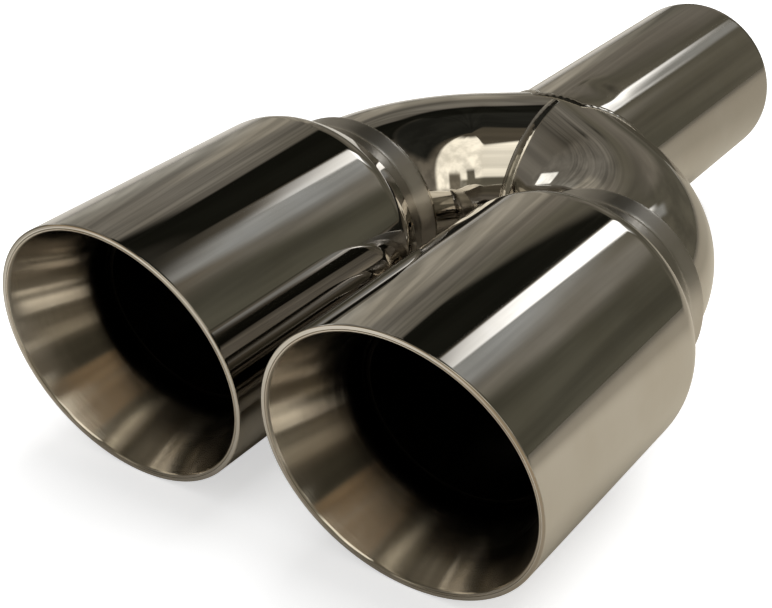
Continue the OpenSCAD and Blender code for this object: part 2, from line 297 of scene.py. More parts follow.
def liner_outline():
    """Closed outline of the liner sheet as (radius, depth behind the rim), from the groove
    back along the hidden side and out again along the bevel."""
    turn_centre = (SOCKET_R + TURN_R, TURN_END)
    socket_back, socket_end = SOCKET_R + LINER_WALL, TURN_END + SOCKET_LEN
    turn = arc(turn_centre, TURN_R, math.pi, math.pi + BEVEL, 14)
    turn_back = arc(turn_centre, TURN_R - LINER_WALL, math.pi + BEVEL, math.pi, 8)
    front = turn_centre[0] - TURN_R * math.cos(BEVEL), TURN_END - TURN_R * math.sin(BEVEL)
    groove, lip = 0.14, 0.3
    slope = np.array([math.sin(BEVEL), -math.cos(BEVEL)])
    lip_start = np.array([LAND_R, 0.0]) - slope * lip
    return np.concatenate([
        line((TIP_BORE - groove, 0.0), (TIP_BORE, groove), 0.1),
        line((TIP_BORE, groove), (TIP_BORE, BAND), 1.0),
        line((TIP_BORE, BAND), (BAND_R, BAND), 0.3),
        line((BAND_R, BAND), turn_back[0], 2.0),
        turn_back,
        line((socket_back, TURN_END), (socket_back, socket_end), 2.0),
        line((socket_back, socket_end), (SOCKET_R, socket_end), 0.6),
        line((SOCKET_R, socket_end), (SOCKET_R, TURN_END), 1.5),
        turn,
        line(front, lip_start, 0.8),
        line(lip_start, (LAND_R + 0.1, 0.06), 0.12),
        line((LAND_R + 0.1, 0.06), (LAND_R + 0.25, 0.0), 0.1),
        line((LAND_R + 0.25, 0.0), (TIP_BORE - groove, 0.0), 0.15),
    ])


def core_outline():
    """Closed outline of the core tube as (radius, Y)."""
    front, rear, bore = RIM_Y + CORE_FRONT, JOINT_Y, PIPE_R - PIPE_WALL
    corners = [(bore, front), (PIPE_R, front), (PIPE_R, rear), (bore, rear)]
    return rounded(corners, [0.3, 0.3, 0, 0], 3.0)


def core_lean(y):
    """Lean of the core tube: 1 at its front, falling evenly to 0 at the joint."""
    return np.clip((JOINT_Y - y) / (JOINT_Y - RIM_Y - CORE_FRONT), 0, 1)


liner = liner_outline() + np.array([0, RIM_Y])
core = core_outline()
for side_name, side in (("left", -1), ("right", 1)):
    mouth = grid_piece(side_name + "_liner_skin",
                       turn_about_tip(liner, side, lambda y: np.ones_like(y)))
    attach(mouth, "root")
    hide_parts(side_name + "_liner")
    STEEL_PIECES[side_name + "_liner"] = mouth
    tube = grid_piece(side_name + "_core_skin", turn_about_tip(core, side, core_lean, 128))
    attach(tube, "root")
    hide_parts(side_name + "_core_tube")
    STEEL_PIECES[side_name + "_core"] = tube

# %% [markdown]
# The elbows are round pipe bent on a form: a straight leg, an arc, and a straight end cut
# on the middle plane. Everything that touches an elbow, the beads and the front of the
# inlet, has to find its surface, so the elbow gets its own frame (u towards the inlet's
# axis, v across it) and a nearest point on its centreline. Snapping to the finished mesh
# would also find it, but the formula is exact and has no facets. These are for the right
# elbow, and the left one is its mirror image.

# %% The elbow's own frame
CR, SR = math.cos(ROLL), math.sin(ROLL)
WAY = np.array([math.sin(BEND), math.cos(BEND), 0.0])
ARC_END = np.array([BEND_R * (1 - math.cos(BEND)), BEND_Y + BEND_R * math.sin(BEND), 0.0])


def to_elbow(p):
    """Part frame to elbow frame: x and z are turned by the roll about the outlet's axis."""
    dx, dz = HALF_SPACING - p[..., 0], p[..., 2] + RISE
    return np.stack([dx * CR + dz * SR, p[..., 1], -dx * SR + dz * CR], axis=-1)


def from_elbow(q):
    """Elbow frame to part frame, the turn of to_elbow undone."""
    x = HALF_SPACING - q[..., 0] * CR + q[..., 2] * SR
    return np.stack([x, q[..., 1], q[..., 0] * SR + q[..., 2] * CR - RISE], axis=-1)


def centreline(q):
    """Nearest point of the elbow's centreline: leg before the bend, the arc by the angle
    about the bend's centre, and the straight end past it by projection."""
    turn = np.arctan2(q[..., 1] - BEND_Y, BEND_R - q[..., 0])
    on_arc = np.stack([BEND_R * (1 - np.cos(turn)), BEND_Y + BEND_R * np.sin(turn), 0 * turn], axis=-1)
    on_end = ARC_END + WAY * ((q - ARC_END) @ WAY)[..., None]
    on_leg = np.stack([0 * turn, q[..., 1], 0 * turn], axis=-1)
    past = (turn > BEND)[..., None]
    before = (q[..., 1] < BEND_Y)[..., None]
    return np.where(past, on_end, np.where(before, on_leg, on_arc))


def unit(a):
    """Vectors scaled to length 1."""
    return a / np.linalg.norm(a, axis=-1, keepdims=True)


def on_elbow(p, radius=PIPE_R):
    """Point of the elbow's outside nearest to p: out from the centreline by the radius."""
    q = to_elbow(p)
    c = centreline(q)
    return from_elbow(c + radius * unit(q - c))


def elbow_normal(p):
    """Direction out of the pipe at p: away from the nearest point of the centreline."""
    q = to_elbow(p)
    c = centreline(q)
    return unit(from_elbow(q) - from_elbow(c))


def elbow_rear(x, z):
    """Y of the elbow's rear face at x and z. On the arc: the bend's centre plus the root of
    (bend radius + q) squared less (u - bend radius) squared, where q is the root of pipe
    radius squared less v squared. On the straight end: the same q laid along its slope."""
    q = to_elbow(np.stack([x, 0 * x, z], axis=-1))
    u, v = q[..., 0], q[..., 2]
    half = np.sqrt(np.clip(PIPE_R ** 2 - v ** 2, 0, None))
    by_arc = BEND_Y + np.sqrt(np.clip((BEND_R + half) ** 2 - (u - BEND_R) ** 2, 0, None))
    by_end = MITRE_Y + (half + math.cos(BEND) * (u - REACH)) / math.sin(BEND)
    turn = np.arctan2(by_arc - BEND_Y, BEND_R - u)
    y = np.where(turn > BEND, by_end, by_arc)
    return np.where(np.abs(v) < PIPE_R, y, -1e9)


print("elbow rolled by", round(math.degrees(ROLL), 2), "degrees")
print("its straight end is", round(STUB, 2), "mm long")

# %% [markdown]
# A bent pipe could be a curve with a round bevel, but the mitre needs each line along the
# pipe to end on the middle plane. So each elbow is a skin of rings along the centreline,
# and the last rings reach out by a different length at each angle, which cuts the mitre.
# The opening into the inlet is then bored with a Boolean, and the result is kept as a
# plain mesh.

# %% Elbows
AROUND = 224
BORE_TO_Y = -40.0


def elbow_skin(radius):
    """Rings of the elbow at a radius, (rows, AROUND, 3): leg, arc, then the straight end,
    whose length at each angle is the distance along it to the plane x = 0."""
    t = np.linspace(0, 2 * math.pi, AROUND, endpoint=False)
    leg_y = np.linspace(JOINT_Y, BEND_Y, 9)[:-1]
    across, up = radius * np.cos(t)[None], radius * np.sin(t)[None]
    leg = np.stack(np.broadcast_arrays(across, leg_y[:, None], up), axis=-1)
    turn = np.linspace(0, BEND, 57)[:-1, None]
    reach = BEND_R - across
    bend = np.stack(np.broadcast_arrays(BEND_R - reach * np.cos(turn),
                                        BEND_Y + reach * np.sin(turn), up), axis=-1)
    foot = np.stack([BEND_R - reach[0] * math.cos(BEND), BEND_Y + reach[0] * math.sin(BEND),
                     radius * np.sin(t)], axis=-1)
    slope = from_elbow(WAY)[0] - from_elbow(np.zeros(3))[0]
    length = -from_elbow(foot)[:, 0] / slope
    part = np.linspace(0, 1, 27)[:, None]
    end = foot[None] + (part * length[None])[..., None] * WAY
    return from_elbow(np.concatenate([leg, bend, end]))


def closed_elbow(name):
    """Closed sheet: the outside, and the bore back again."""
    outer = elbow_skin(PIPE_R)
    inner = elbow_skin(PIPE_R - PIPE_WALL)[::-1]
    return grid_piece(name, np.concatenate([outer, inner]))


def bore_cylinder():
    """A closed cylinder along Y, at the inlet's bore, from the mitre to behind the elbows."""
    t = np.linspace(0, 2 * math.pi, 256, endpoint=False)
    y = np.array([[MITRE_Y], [BORE_TO_Y]])
    points = np.broadcast_arrays(INLET_BORE * np.cos(t), y, INLET_BORE * np.sin(t))
    return grid_piece("bore_tool", np.stack(points, axis=-1), False, True)


def applied(obj, name):
    """The object's mesh with its modifiers worked in, under a new name."""
    graph = bpy.context.evaluated_depsgraph_get()
    mesh = bpy.data.meshes.new_from_object(obj.evaluated_get(graph))
    mesh.name = name
    done = bpy.data.objects.new(name, mesh)
    bpy.context.scene.collection.objects.link(done)
    bpy.data.objects.remove(obj)
    return done


def mirrored(obj, name):
    """A copy with x turned round, and its faces turned back to point outwards."""
    mesh = obj.data.copy()
    mesh.name = name
    co = np.empty(len(mesh.vertices) * 3, np.float32)
    mesh.vertices.foreach_get("co", co)
    co = co.reshape(-1, 3)
    co[:, 0] *= -1
    mesh.vertices.foreach_set("co", co.ravel())
    mesh.flip_normals()
    twin = bpy.data.objects.new(name, mesh)
    bpy.context.scene.collection.objects.link(twin)
    return twin


tool = bore_cylinder()
blank = closed_elbow("elbow_blank")
cut = blank.modifiers.new("opening", "BOOLEAN")
cut.operation, cut.solver, cut.object = "DIFFERENCE", "EXACT", tool
right_elbow = applied(blank, "right_elbow_skin")
bpy.data.objects.remove(tool)
right_elbow.data.shade_smooth()
right_elbow.data.set_sharp_from_angle(angle=math.radians(40))
left_elbow = mirrored(right_elbow, "left_elbow_skin")
for piece, node in ((right_elbow, "right_elbow"), (left_elbow, "left_elbow")):
    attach(piece, "root")
    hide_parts(node)
    STEEL_PIECES[node] = piece
    print(piece.name, len(piece.data.polygons), "faces")

# %% [markdown]
# The inlet tube's front is cut to sit on both elbows, which fitters call a fish mouth.
# Where the tube passes over the elbows it starts at their rear face, and where it clears
# them it starts at the middle of the joint. Boring a straight tube would leave slivers
# there, so each line of the grid starts at its own depth instead. The rear end is sawn
# square and deburred. One shallow dent lies on top, beside the joint, as on the real one.

# %% Inlet tube
DENT_Y, DENT_T = -108.0, math.radians(360 + 80)
DENT_DEPTH, DENT_LENGTH, DENT_ANGLE = 0.35, 7.0, 0.2
DEBURR = 0.35


def inlet_front(r, t):
    """Y of the front edge at radius r and angle t: the rear face of the elbow on that
    side, but never in front of the mitre."""
    return np.maximum(MITRE_Y, elbow_rear(np.abs(r * np.cos(t)), r * np.sin(t)))


def inlet_points(segments=320, along=64):
    """Closed sheet: outside from front to rear, rounded end, bore from rear to front. The
    dent takes its depth times exp(-(y / length)^2 - (t / angle)^2) off the radius, with y
    and t counted from its middle. As t runs from 90 to 450 degrees, 80 is 360 + 80."""
    t = np.linspace(0, 2 * math.pi, segments, endpoint=False) + math.pi / 2
    end = DEBURR
    rings = []
    front_out, front_in = inlet_front(INLET_R, t), inlet_front(INLET_BORE, t)
    share = np.linspace(0, 1, along)
    for s in share:
        y = front_out + (-end - front_out) * s
        from_dent = ((y - DENT_Y) / DENT_LENGTH) ** 2 + ((t - DENT_T) / DENT_ANGLE) ** 2
        rings.append((INLET_R - DENT_DEPTH * np.exp(-from_dent), y))
    for a in np.linspace(0, math.pi / 2, 5)[1:]:
        rings.append((INLET_R - end + end * math.cos(a) + 0 * t, -end + end * math.sin(a) + 0 * t))
    for a in np.linspace(math.pi / 2, math.pi, 5):
        rings.append((INLET_BORE + end + end * math.cos(a) + 0 * t, -end + end * math.sin(a) + 0 * t))
    for s in share[1:][::2]:
        rings.append((INLET_BORE + 0 * t, -end + (front_in + end) * s))
    r = np.stack([ring[0] for ring in rings])
    y = np.stack([ring[1] for ring in rings])
    return np.stack([r * np.cos(t), y, r * np.sin(t)], axis=-1)


inlet = grid_piece("inlet_tube_skin", inlet_points())
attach(inlet, "root")
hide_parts("inlet_tube")
STEEL_PIECES["inlet_tube"] = inlet

# %% [markdown]
# The visible beads are polished but keep the small even ripples of a torch weld. A bead
# is a low arch carried along its seam, with the arch raised and lowered a little by a
# cosine of the length walked. A round tube along the seam would be quicker, but it would
# stand up like a wire. The arch's two feet are sunk a hair into the sheets.

# %% Bead helpers
RIPPLE, RIPPLE_H = 2.6, 0.035
SUNK = 0.05


def arch(foot_a, foot_b, lift, height, n=9):
    """Arch from foot_a to foot_b over a seam: a straight mix of the feet, plus the lift
    direction times height times the sine of the share of the way across."""
    s = np.linspace(0, 1, n)[None, :, None]
    return foot_a[:, None] * (1 - s) + foot_b[:, None] * s + \
        lift[:, None] * (height[:, None, None] * np.sin(np.pi * s))


def ripples(path):
    """Cosine of the length walked along a path, in a whole number of waves, -1 to 1."""
    step = np.linalg.norm(np.diff(path, axis=0, prepend=path[:1]), axis=-1)
    walked = np.cumsum(step)
    count = max(1, round(walked[-1] / RIPPLE))
    return np.cos(2 * math.pi * walked / walked[-1] * count)


def bead_piece(name, node, points, wrap):
    """A bead's points made into the piece that stands for its CAD node."""
    piece = grid_piece(name, points, wrap, True)
    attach(piece, "root")
    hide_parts(node)
    STEEL_PIECES[node] = piece
    return piece


# %% [markdown]
# Three kinds of seam carry a bead. The neck's runs in a circle from the sheet's end to the
# bend. The inlet's follows the fish mouth. The mitre's follows the ellipse where the two
# elbows meet, and it is the only one with two ends, because it dives under the inlet.

# %% Weld beads
NECK_BEAD_H, INLET_BEAD_H, MITRE_BEAD_H = 0.6, 0.5, 0.45
NECK_BEAD_W, FOOT_W = 3.1, 1.9


def neck_bead(side):
    """Bead round the neck's end: one foot on the neck, one on the start of the bend."""
    t = np.linspace(0, 2 * math.pi, 720, endpoint=False)
    foot_r = FLARE_R - 0.1
    on_neck = np.stack([HALF_SPACING + foot_r * np.cos(t), 0 * t + NECK_END - 0.7,
                        foot_r * np.sin(t) - RISE], axis=-1)
    guess = on_neck + np.array([0.0, NECK_BEAD_W, 0.0])
    on_bend = on_elbow(guess, PIPE_R - SUNK)
    out = np.stack([np.cos(t), 0.35 + 0 * t, np.sin(t)], axis=-1)
    height = NECK_BEAD_H + RIPPLE_H * ripples(np.concatenate([on_neck, on_neck[:1]]))[:-1]
    points = arch(on_neck, on_bend, unit(out), height)
    root = (on_neck + on_bend)[:, None] / 2 - 1.2 * unit(out)[:, None]
    points = np.concatenate([points, root], axis=1)
    return points * np.array([side, 1, 1])


def edge_of_inlet(t):
    """Front edge of the inlet on its outside, at angle t."""
    return np.stack([INLET_R * np.cos(t), inlet_front(INLET_R, t), INLET_R * np.sin(t)], axis=-1)


def inlet_bead():
    """Bead round the front of the inlet: one foot out along the elbow, square to the edge,
    and one foot back along the inlet. Worked for x >= 0 and mirrored for the rest."""
    t = np.linspace(-math.pi / 2, math.pi / 2, 481)
    edge = edge_of_inlet(t)
    along = unit(edge_of_inlet(t + 0.008) - edge_of_inlet(t - 0.008))
    foot = on_elbow(edge)
    skin = elbow_normal(edge)
    away = unit(np.cross(skin, along))
    toe = on_elbow(foot + away * FOOT_W, PIPE_R - SUNK)
    round_n = np.stack([np.cos(t), 0 * t, np.sin(t)], axis=-1)
    back = unit(np.cross(along, round_n))
    back = back * np.sign(back[:, 1:2])
    heel = edge + back * FOOT_W
    heel[:, [0, 2]] *= ((INLET_R - SUNK) / np.linalg.norm(heel[:, [0, 2]], axis=-1))[:, None]
    lift = unit(skin + round_n)
    height = INLET_BEAD_H + RIPPLE_H * ripples(edge)
    points = arch(toe, heel, lift, height)
    root = (toe + heel)[:, None] / 2 - 1.1 * lift[:, None]
    half = np.concatenate([points, root], axis=1)
    other = half[-2:0:-1] * np.array([-1, 1, 1])
    return np.concatenate([half, other])


def mitre_bead():
    """Bead on the seam of the elbows in the plane x = 0. The seam is an ellipse: the pipe's
    radius over the root of one less the square of the way's share along the pipe."""
    t = np.linspace(-math.radians(87), math.radians(87), 301)[:, None]
    way = np.concatenate([0 * t, -np.cos(t), np.sin(t)], axis=1)
    axis = np.array([-math.sin(BEND) * CR, math.cos(BEND), math.sin(BEND) * SR])
    share = way @ axis
    seam = np.array([0, MITRE_Y, 0]) + way * (PIPE_R / np.sqrt(1 - share ** 2))[:, None]
    normal = way - share[:, None] * axis
    normal[:, 0] = 0
    normal = unit(normal)
    foot = seam - axis * (FOOT_W / (math.sin(BEND) * CR)) - SUNK * normal
    other = foot * np.array([-1, 1, 1])
    height = MITRE_BEAD_H + RIPPLE_H * 0.4 * ripples(seam)
    points = arch(foot, other, normal, height)
    root = seam[:, None] - 0.6 * normal[:, None]
    return np.concatenate([points, root], axis=1)


bead_piece("left_neck_bead", "left_neck_weld", neck_bead(-1), True)
bead_piece("right_neck_bead", "right_neck_weld", neck_bead(1), True)
bead_piece("inlet_bead", "inlet_weld", inlet_bead(), True)
bead_piece("mitre_bead", "mitre_weld", mitre_bead(), False)

# %% [markdown]
# Polished stainless steel has hardly any colour of its own. It is a bare metal surface, a
# little warm, and what sets one piece apart from the next is how it was polished: along
# the tube, round it, or by hand in soft swirls. So each finish here is a metal whose
# roughness and bump come from noise that is stretched the way the polishing went. A small
# helper joins nodes by name, which keeps each finish short enough to read.

# %% Node helpers
def new_material(name):
    """Empty material with an output and one Principled shader."""
    mat = bpy.data.materials.new(name)
    mat.use_nodes = True
    nodes = mat.node_tree.nodes
    nodes.clear()
    out = nodes.new("ShaderNodeOutputMaterial")
    shader = nodes.new("ShaderNodeBsdfPrincipled")
    mat.node_tree.links.new(shader.outputs["BSDF"], out.inputs["Surface"])
    return mat, shader


def add(mat, kind, inputs=None, **settings):
    """One node of a kind. An input is a number, a colour, or another node's output."""
    node = mat.node_tree.nodes.new("ShaderNode" + kind)
    for key, value in settings.items():
        setattr(node, key, value)
    for key, value in (inputs or {}).items():
        if isinstance(value, bpy.types.NodeSocket):
            mat.node_tree.links.new(value, node.inputs[key])
        else:
            node.inputs[key].default_value = value
    return node


def join(mat, output, socket):
    """Link between an output and an input of the same material."""
    mat.node_tree.links.new(output, socket)


def maths(mat, operation, *values):
    """Result of one Math node."""
    return add(mat, "Math", dict(enumerate(values)), operation=operation).outputs[0]


def spread(mat, value, low, high, to_low, to_high):
    """Value carried smoothly from low..high to to_low..to_high."""
    ends = {"From Min": low, "From Max": high, "To Min": to_low, "To Max": to_high}
    node = add(mat, "MapRange", {"Value": value, **ends}, interpolation_type="SMOOTHSTEP")
    return node.outputs["Result"]


def noise(mat, where, scale, detail=2.0, rough=0.5):
    """Value of a noise texture, about 0.5 on average."""
    texture = {"Vector": where, "Scale": scale, "Detail": detail, "Roughness": rough}
    return add(mat, "TexNoise", texture).outputs["Fac"]


def stretched(mat, where, scale):
    """Coordinates scaled by axis, so that a noise on them is drawn out along the small one."""
    return add(mat, "Mapping", {"Vector": where, "Scale": scale}).outputs["Vector"]


def mixed(mat, share, first, second, **settings):
    """Colour that goes from first to second as share goes from 0 to 1. Each of the two is a
    colour or another node's output."""
    node = add(mat, "Mix", {"Factor": share}, data_type="RGBA", **settings)
    for value, socket in ((first, node.inputs["A"]), (second, node.inputs["B"])):
        if isinstance(value, bpy.types.NodeSocket):
            join(mat, value, socket)
        else:
            socket.default_value = (*value, 1)
    return node.outputs["Result"]


def object_axes(mat):
    """X, Y and Z of the point on the piece, in metres."""
    return add(mat, "SeparateXYZ", {0: add(mat, "TexCoord").outputs["Object"]}).outputs


# %% [markdown]
# The metal itself is one recipe. Its colour drifts a little, its roughness rides on fine
# lines, and its bump adds the slow waves that a hand polisher leaves. A single flat value
# for any of these would look like plastic, because no polished sheet is that even.

# %% Polished metal
def polished_metal(name, colour, tint, rough, lines, line_share, wave, wave_scale, uv):
    """Bare polished metal. The colour goes towards the tint in soft clouds, the roughness
    is rough plus line_share on lines drawn out by the lines scale, and the bump has the
    same lines and waves of height wave. The lines follow the UV map, or else the piece."""
    mat, shader = new_material(name)
    place = add(mat, "TexCoord").outputs["Object"]
    along = place
    if uv:
        along = add(mat, "UVMap", uv_map=SURFACE_UV).outputs["UV"]
    fine = noise(mat, stretched(mat, along, lines), 1.0, 3.0, 0.6)
    cloud = noise(mat, place, 38.0, 3.0, 0.55)
    slow = noise(mat, place, wave_scale, 1.0, 0.4)
    drift = mixed(mat, spread(mat, cloud, 0.3, 0.7, 0.0, 1.0), colour, tint)
    join(mat, drift, shader.inputs["Base Color"])
    shader.inputs["Metallic"].default_value = 1.0
    marks = maths(mat, "MULTIPLY", spread(mat, fine, 0.35, 0.75, -1.0, 1.0), line_share)
    haze = maths(mat, "MULTIPLY", spread(mat, cloud, 0.35, 0.7, -1.0, 1.0), rough * 0.25)
    total = maths(mat, "ADD", maths(mat, "ADD", marks, haze), rough)
    join(mat, maths(mat, "MAXIMUM", total, 0.02), shader.inputs["Roughness"])
    ridges = maths(mat, "MULTIPLY", fine, line_share * 0.02)
    height = maths(mat, "ADD", ridges, maths(mat, "MULTIPLY", slow, wave))
    bump = add(mat, "Bump", {"Height": height, "Strength": 1.0, "Distance": 0.001})
    join(mat, bump.outputs["Normal"], shader.inputs["Normal"])
    return mat


def shader_of(mat):
    """The Principled shader of a material."""
    return next(node for node in mat.node_tree.nodes if node.type == "BSDF_PRINCIPLED")


# %% [markdown]
# The sleeves were polished along their length, so their streaks run from rim to shoulder,
# and the heat of the weld leaves the neck duller. The liners were turned, which leaves
# rings too fine to see one by one. What shows is that each reflection is smeared along the
# slope, square to the rings, and that is what an anisotropic shader does. Where the liner
# turns in to the core its colour goes to near black with a soft edge: that is painted shade
# deep in the mouth, so the mouth ends in black.

# %% Wear on the sleeve, rings on the liner, and painted shade in the liner
def dull_near_neck(mat, amount):
    """Adds amount to the roughness from just before the crease to the neck's end."""
    shader = shader_of(mat)
    start, full = (CREASE_Y - 5) * MM, (CREASE_Y + 1) * MM
    near = spread(mat, object_axes(mat)["Y"], start, full, 0.0, amount)
    rough = shader.inputs["Roughness"].links[0].from_socket
    join(mat, maths(mat, "ADD", rough, near), shader.inputs["Roughness"])


def painted_shade_inside(mat):
    """Painted shade near the core: the colour goes to near black, placed by the distance from
    the outlet's own axis: sqrt((|x| - HALF_SPACING)^2 + (z + RISE)^2)."""
    shader = shader_of(mat)
    axes = object_axes(mat)
    across = maths(mat, "SUBTRACT", maths(mat, "ABSOLUTE", axes["X"]), HALF_SPACING * MM)
    up = maths(mat, "ADD", axes["Z"], RISE * MM)
    squares = maths(mat, "ADD", maths(mat, "MULTIPLY", across, across), maths(mat, "MULTIPLY", up, up))
    out = maths(mat, "SQRT", squares)
    # Near-black colour towards the core: painted shade deep in the mouth, where the liner turns in.
    out_of_shade = spread(mat, out, (PIPE_R - 0.25) * MM, (PIPE_R + 2.75) * MM, 0.03, 1.0)
    metal = shader.inputs["Base Color"].links[0].from_socket
    join(mat, mixed(mat, out_of_shade, (0.01, 0.009, 0.008), metal), shader.inputs["Base Color"])


def smear_along_slope(mat, amount):
    """Reflections drawn out square to the rings: the tangent runs round the liner, and the
    quarter turn of 0.25 points it down the slope."""
    shader = shader_of(mat)
    shader.inputs["Anisotropic"].default_value = amount
    shader.inputs["Anisotropic Rotation"].default_value = 0.25
    tangent = add(mat, "Tangent", direction_type="UV_MAP", uv_map=SURFACE_UV)
    join(mat, tangent.outputs["Tangent"], shader.inputs["Tangent"])


# %% [markdown]
# Every visible piece now gets its finish. The elbows and the inlet were buffed by hand, the
# beads only lightly, and the core tubes are drawn pipe that nobody polished. Their near-black
# colour is painted shade deep inside the mouths. The hidden core welds stay as they are in
# the CAD frame and share the beads' finish.

# %% Steel finishes
STEEL, WARM, WELD = (0.60, 0.575, 0.545), (0.56, 0.53, 0.49), (0.55, 0.51, 0.45)
sleeve_finish = polished_metal("sleeve_polish", STEEL, WARM, 0.045,
                               (900.0, 7.0, 1.0), 0.035, 0.05, 26.0, True)
elbow_finish = polished_metal("elbow_polish", STEEL, WARM, 0.045,
                              (60.0, 60.0, 60.0), 0.015, 0.12, 30.0, False)
inlet_finish = polished_metal("inlet_polish", STEEL, WARM, 0.06,
                              (700.0, 6.0, 1.0), 0.03, 0.05, 28.0, True)
liner_turned_and_shade = polished_metal("liner_turned", (0.58, 0.55, 0.51), (0.52, 0.48, 0.43), 0.14,
                              (6.0, 1100.0, 1.0), 0.018, 0.05, 24.0, True)
bead_finish = polished_metal("bead_polish", STEEL, WELD, 0.16,
                             (300.0, 300.0, 300.0), 0.07, 0.04, 120.0, False)
# The core tubes' near-black colour is painted shade deep inside the mouths.
core_painted_shade_finish = polished_metal("core_pipe_painted_shade", (0.012, 0.011, 0.010), (0.007, 0.006, 0.005), 0.55,
                             (90.0, 90.0, 20.0), 0.12, 0.12, 60.0, False)
dull_near_neck(sleeve_finish, 0.3)
# The liner's near-black ring round the core is painted shade.
painted_shade_inside(liner_turned_and_shade)
smear_along_slope(liner_turned_and_shade, 0.95)
FINISHES = {"sleeve": sleeve_finish, "liner": liner_turned_and_shade, "core": core_painted_shade_finish,
            "elbow": elbow_finish, "tube": inlet_finish, "weld": bead_finish}
for name, piece in STEEL_PIECES.items():
    piece.data.materials.clear()
    piece.data.materials.append(FINISHES[name.split("_")[-1]])
for name in ("left_core_weld", "right_core_weld"):
    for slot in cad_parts[name].material_slots:
        slot.material = bead_finish
print("finishes:", sorted(mat.name for mat in FINISHES.values()))

# %% [markdown]
# The camera stands where the fit puts the photographer: about 0.45 m from the mouths, 32
# degrees round to the right and looking down by 29 degrees. The fit moved the camera until
# the rims, pipes and seams of the model lay on those in the picture. It gives an eye point
# and three angles, so these are what the cell holds.

# %% Camera
AZ, EL, TILT = math.radians(32.317), math.radians(29.007), math.radians(1.674)
LENS_PX, FRAME_PX, SENSOR_MM = 1609.75, 772, 36.0
EYE = np.array([232.2, -600.3, 239.5])


def camera_axes():
    """Right, up and back of the camera: back points from the view to the eye, and right and
    up are turned about it by the tilt."""
    back = np.array([math.sin(AZ) * math.cos(EL), -math.cos(AZ) * math.cos(EL), math.sin(EL)])
    right = np.array([math.cos(AZ), math.sin(AZ), 0.0])
    up = np.cross(back, right)
    across = math.cos(TILT) * right + math.sin(TILT) * up
    upward = -math.sin(TILT) * right + math.cos(TILT) * up
    return across, upward, back


eye = bpy.data.cameras.new("camera")
eye.sensor_width = SENSOR_MM
eye.lens = SENSOR_MM * LENS_PX / FRAME_PX
eye.clip_start, eye.clip_end = 0.02, 20.0
camera = bpy.data.objects.new("camera", eye)
bpy.context.scene.collection.objects.link(camera)
bpy.context.scene.camera = camera
matrix = np.eye(4)
matrix[:3, :3] = np.stack(camera_axes(), axis=1)
matrix[:3, 3] = EYE * MM
camera.matrix_world = Matrix([list(row) for row in matrix])
print("lens", round(eye.lens, 2), "mm")

# %% [markdown]
# A mirror finish is only as good as what it reflects. The photograph shows a dim room: a
# white lamp high behind the part with black beside it, greyer walls, warm light low down.
# Here one large dome stands for the room, and only reflections see it. Its pattern is a
# set of soft-edged cards. This cell makes the dome's shape and the helper for a card's
# mask, which is cut from two bands: one of compass bearing and one of height.

# %% Dome helpers
DOME_R = 6000.0
DEGREES = 57.2958


def sphere_points(radius, rows=48, cols=96):
    """Sphere by height and bearing: radius times (cos h sin b, cos h cos b, sin h)."""
    h = np.linspace(-0.4999 * math.pi, 0.4999 * math.pi, rows)[:, None]
    b = np.linspace(0, 2 * math.pi, cols, endpoint=False)[None, :]
    flat = np.cos(h)
    return radius * np.stack([flat * np.sin(b), flat * np.cos(b), np.sin(h) + 0 * b], axis=-1)


def glow(name):
    """Material that only glows, and the emission node that takes its colour."""
    mat = bpy.data.materials.new(name)
    mat.use_nodes = True
    mat.node_tree.nodes.clear()
    out = mat.node_tree.nodes.new("ShaderNodeOutputMaterial")
    light = mat.node_tree.nodes.new("ShaderNodeEmission")
    join(mat, light.outputs["Emission"], out.inputs["Surface"])
    return mat, light


def band(mat, value, centre, half, soft):
    """1 where value is within half of centre, falling to 0 over soft. The difference is
    wrapped to -180..180, so that a band may cross the bearing of 180."""
    gap = maths(mat, "WRAP", maths(mat, "SUBTRACT", value, centre), -180.0, 180.0)
    gap = maths(mat, "ABSOLUTE", gap)
    return spread(mat, gap, half - soft / 2, half + soft / 2, 1.0, 0.0)
